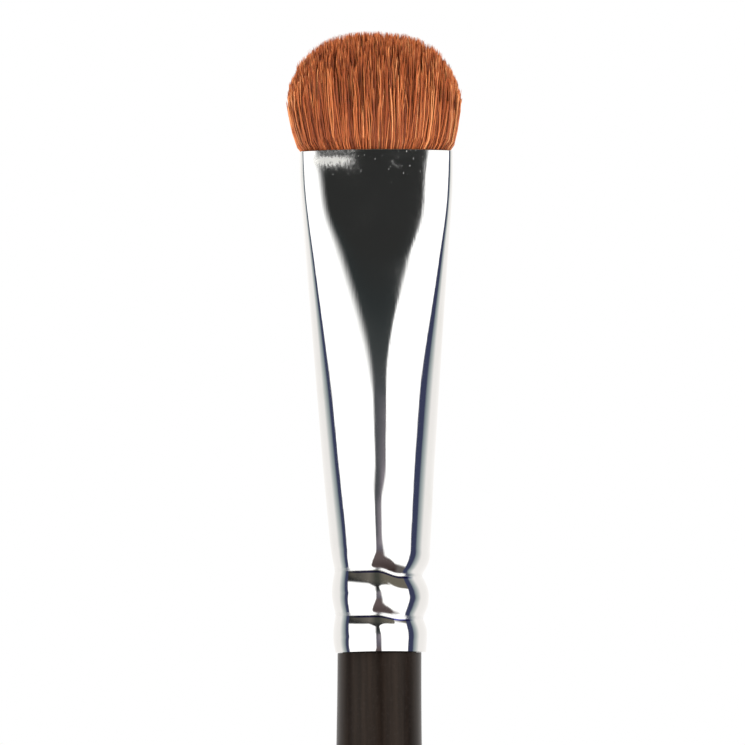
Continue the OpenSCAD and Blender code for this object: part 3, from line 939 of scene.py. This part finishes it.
def gatherLocks(random, u, v):
    # tips lean together in small locks, some of which end lower than the dome
    k = locks
    count = len(u)
    lockU, lockV = strandPlaces(random, k["count"])
    lock = nearestOf(u * k["across"], v, lockU * k["across"], lockV)
    lockCount = len(lockU)
    isShort = random.random(lockCount) < k["shortOnes"]
    lockShort = np.where(isShort, random.uniform(0, k["shortest"], lockCount), 0)
    lockShort = lockShort * (0.05 + 0.95 * abs(lockV)) * (1 - abs(lockU) ** 8)
    loose = random.random(count) < k["looseOnes"]
    looseShort = random.uniform(0, k["shortestLoose"], count) * abs(v)
    height = domeHeight(u, v) * (1 - np.where(loose, looseShort, lockShort[lock]))
    height = height - k["tipShake"] * random.random(count) ** 2
    loosePull = random.uniform(*k["loosePull"], count)
    pull = np.where(loose, loosePull, random.uniform(*k["pull"], count))
    inner = 1 - 0.6 * (1 - clamp(abs(v) * 2)) ** 2  # the hairs of the outline keep straighter
    pull = pull * inner
    lockLean = random.normal(0, k["lean"], (lockCount, 2))[lock] * inner[:, None]
    leanX = lockLean[:, 0] + random.normal(0, k["hairLean"], count)
    leanX = leanX * (1 - 0.65 * abs(u) ** 3) + (lockU[lock] - u) * pull * hair["rootHalf"][0] * 1.2
    leanX = leanX * np.where(leanX * u > 0, 1 - abs(u) ** 6, 1)
    leanY = (lockV[lock] - v) * pull * hair["rootHalf"][1] * 1.4 + lockLean[:, 1] * 0.6
    wave = random.normal(0, k["wave"], (lockCount, 2))[lock]
    wave = wave + random.normal(0, k["hairWave"], (count, 2))
    wavePhase = random.uniform(0, 2 * np.pi, lockCount)[lock]
    tone = k["tone"] + random.normal(0, k["toneShake"], lockCount)[lock]
    tone = tone + random.normal(0, k["hairToneShake"], count)
    # painted light: the hairs at the sides are lighter, and those on the right a little more
    tone = tone + k["paintedEdgeLight"] * abs(u) ** 4 + k["paintedRightLight"] * u
    return {"height": height, "lean": (leanX, leanY), "wave": wave, "phase": wavePhase, "tone": tone}


def centreLine(u, v, strands, share):
    # the points of all hairs at one share of their length
    h = blend(-hair["rootDepth"], strands["height"], share)
    above = np.maximum(h, 0)
    over = hair["overhang"] * (1 - np.exp(-above / hair["overhangHeight"]))
    fan = 1 - np.exp(-above / hair["flareHeight"])
    free = clamp(share) ** hair["freePower"]
    bend = np.sin(strands["phase"] + h / mm * 0.9) * clamp(above / locks["waveHeight"])
    flareX = hair["flare"][0] - hair["upright"] * clamp(u)
    x = u * (hair["rootHalf"][0] + over + flareX * fan)
    y = v * (hair["rootHalf"][1] + over + hair["flare"][1] * fan)
    x = x + strands["lean"][0] * free + strands["wave"][:, 0] * bend + hair["sway"] * above / hair["out"]
    y = y + strands["lean"][1] * free + strands["wave"][:, 1] * bend
    return np.stack([x, y, h + ferrule["mouthArch"] * (1 - u**2)], 1)


def makeHair():
    random = np.random.default_rng(hair["seed"])
    u, v = strandPlaces(random, hair["count"])
    count = len(u)
    strands = gatherLocks(random, u, v)
    thickness = hair["radius"] * random.uniform(hair["thinnest"], hair["thickest"], count)
    lines = np.stack([centreLine(u, v, strands, share) for share in hair["shares"]], 1)
    spin = random.uniform(0, 2 * np.pi, count)
    points = np.zeros((count, len(hair["shares"]), 3, 3))
    for corner in range(3):
        angle = spin + corner * 2 * np.pi / 3
        around = np.stack([np.cos(angle), np.sin(angle), 0 * angle], 1)
        for ring, girth in enumerate(hair["girths"]):
            points[:, ring, corner] = lines[:, ring] + around * (thickness * girth)[:, None]
    points[..., 2] += hair["mouth"]

    # how deep each point lies among its neighbours, 0 on the tuft's surface and 1 inside; it sets the
    # painted shade that darkens the hairs within
    surface = clamp(np.maximum(abs(v) ** 5, abs(u) ** 14))
    belowTip = (1 - np.array(hair["shares"]))[None] * strands["height"][:, None]
    buried = clamp(belowTip / hair["shade"]) * (1 - surface)[:, None]
    material = chestnutHair()
    groups = np.array_split(random.permutation(count), hair["pieces"])
    for number, group in enumerate(groups):
        name = f"hairTuft{number + 1}"
        piece = joinStrands(name, points[group], strands["tone"][group], buried[group])
        dress(piece, material, "hair_tuft")
    print("hair:", count, "strands in", hair["pieces"], "pieces")


def nearestOf(x, y, otherX, otherY):
    nearest = np.zeros(len(x), int)
    for start in range(0, len(x), 2000):
        part = slice(start, start + 2000)
        gap = (x[part, None] - otherX) ** 2 + (y[part, None] - otherY) ** 2
        nearest[part] = gap.argmin(1)
    return nearest


hairMap = {"left": 0.1, "step": 0.27, "low": 0.05, "tall": 0.88, "cap": 0.02}  # shares of a hair's cell


def joinStrands(name, points, tone, buried):
    # copies of one drawn hair, each with its own points, in one mesh
    rings = len(hair["shares"])
    strand = drawnTube("oneHair", 3, [[(0, 0, 0)] * 3 for _ in range(rings)])
    faces = [list(face.vertices) for face in strand.data.polygons]
    bpy.data.objects.remove(strand)
    count = len(points)
    each = rings * 3
    copies = np.arange(count)[:, None]
    sizes = np.array([len(face) for face in faces])
    corners = np.concatenate(faces)
    mesh = bpy.data.meshes.new(name)
    mesh.vertices.add(count * each)
    mesh.vertices.foreach_set("co", points.reshape(-1))
    mesh.loops.add(count * len(corners))
    mesh.loops.foreach_set("vertex_index", (corners[None] + copies * each).ravel())
    mesh.polygons.add(count * len(faces))
    starts = np.concatenate([[0], np.cumsum(sizes)[:-1]])
    mesh.polygons.foreach_set("loop_start", (starts[None] + copies * len(corners)).ravel())
    mesh.update(calc_edges=True)
    for field, values in (("tone", np.repeat(tone, each)), ("buried", np.repeat(buried.ravel(), 3))):
        attribute = mesh.attributes.new(field, "FLOAT", "POINT")
        attribute.data.foreach_set("value", values.astype(np.float32))

    # a map with a narrow cell for each hair, its three sides side by side
    unrolled = []
    for face in faces:
        side = [corner % 3 for corner in face]
        wraps = 2 in side and 0 in side and len(face) == 4
        for corner in face:
            across = 3 if wraps and corner % 3 == 0 else corner % 3
            cap = hairMap["cap"] * (corner % 3 == 1) if len(face) == 3 else 0
            up = hairMap["low"] + hairMap["tall"] * (corner // 3) / (rings - 1) + cap
            unrolled.append((hairMap["left"] + across * hairMap["step"], up))
    columns = int(math.ceil(math.sqrt(count)))
    cell = np.stack([np.arange(count) % columns, np.arange(count) // columns], 1)
    flat = (np.array(unrolled)[None] + cell[:, None]) / columns
    layer = mesh.uv_layers.new(name="OFBake")
    layer.data.foreach_set("uv", flat.astype(np.float32).ravel())
    piece = bpy.data.objects.new(name, mesh)
    bpy.context.scene.collection.objects.link(piece)
    shadeRound(piece, 180)
    return piece


def chestnutHair():
    material, sheet = newMaterial("chestnutHair")
    tone = sheet.add("ShaderNodeAttribute", {"attribute_name": "tone"}, out="Fac")
    buried = sheet.add("ShaderNodeAttribute", {"attribute_name": "buried"}, out="Fac")
    stops = [
        (0.0, (0.17, 0.034, 0.01)),
        (0.4, (0.42, 0.096, 0.026)),
        (0.7, (0.62, 0.183, 0.053)),
        (1.0, (0.86, 0.36, 0.14)),
    ]
    fleck = sheet.noise(sheet.stretched(objectPlace(sheet), (9000, 9000, 1800)), 1, 2)
    colour = sheet.ramp(tone + 0.3 * fleck - 0.15, stops)
    # painted shade: hairs deep inside the tuft are darkened towards a near-black brown
    colour = sheet.mix(0.82 * buried, colour, (0.07, 0.014, 0.005))
    finishMaterial(sheet, {"Base Color": colour, "Roughness": 0.42, "Specular IOR Level": 0.45})
    return material


# What the ferrule hides


def packedRoots():
    material, sheet = newMaterial("packedRoots")
    fibres = sheet.noise(sheet.stretched(objectPlace(sheet), (8000, 8000, 200)), 1, 3)
    colour = sheet.mix(fibres, (0.12, 0.03, 0.01), (0.5, 0.17, 0.06))
    bump = sheet.bump(fibres, 0.5, 0.05 * mm)
    finishMaterial(sheet, {"Base Color": colour, "Roughness": 0.6, "Normal": bump})
    return material


def cottonThread():
    material, sheet = newMaterial("cottonThread")
    twist = sheet.noise(sheet.stretched(objectPlace(sheet), (5000, 5000, 9000)), 1, 3)
    colour = sheet.mix(twist, (0.6, 0.56, 0.46), (0.86, 0.83, 0.74))
    bump = sheet.bump(twist, 0.6, 0.05 * mm)
    finishMaterial(sheet, {"Base Color": colour, "Roughness": 0.85, "Normal": bump})
    return material


def setResin(name, deep, pale):
    material, sheet = newMaterial(name)
    cloud = sheet.noise(objectPlace(sheet), 700, 3)
    colour = sheet.mix(cloud, deep, pale)
    bump = sheet.bump(cloud, 0.2, 0.1 * mm)
    finishMaterial(sheet, {"Base Color": colour, "Roughness": 0.2 + 0.2 * cloud, "Normal": bump})
    return material


def dressHiddenNodes(nodes):
    hidden = {
        "root_bundle": packedRoots(),
        "root_binding": cottonThread(),
        "root_glue": setResin("epoxyResin", (0.5, 0.33, 0.12), (0.75, 0.6, 0.32)),
    }
    for name, material in hidden.items():
        nodes[name].data.materials.clear()
        nodes[name].data.materials.append(material)


# The scene


def asList(corners):
    return [list(corner) for corner in corners]


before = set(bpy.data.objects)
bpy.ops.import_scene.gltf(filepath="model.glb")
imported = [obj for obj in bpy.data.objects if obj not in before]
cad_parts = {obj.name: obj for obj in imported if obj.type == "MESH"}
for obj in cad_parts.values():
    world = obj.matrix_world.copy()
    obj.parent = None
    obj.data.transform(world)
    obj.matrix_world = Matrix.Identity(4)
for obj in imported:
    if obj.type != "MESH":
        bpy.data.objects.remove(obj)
cadBox = asList(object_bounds())
bpy.context.scene.view_settings.view_transform = "Standard"
makeCamera()
makeWorld()
makeLamps()
makeFloor(cadBox[0][2])
print("studio: camera, room and lamps")
makeFerrule()
makeGlueFilm()
makeHandle()
makeHair()
dressHiddenNodes(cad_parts)
print("hidden nodes: dressed")
startClean()
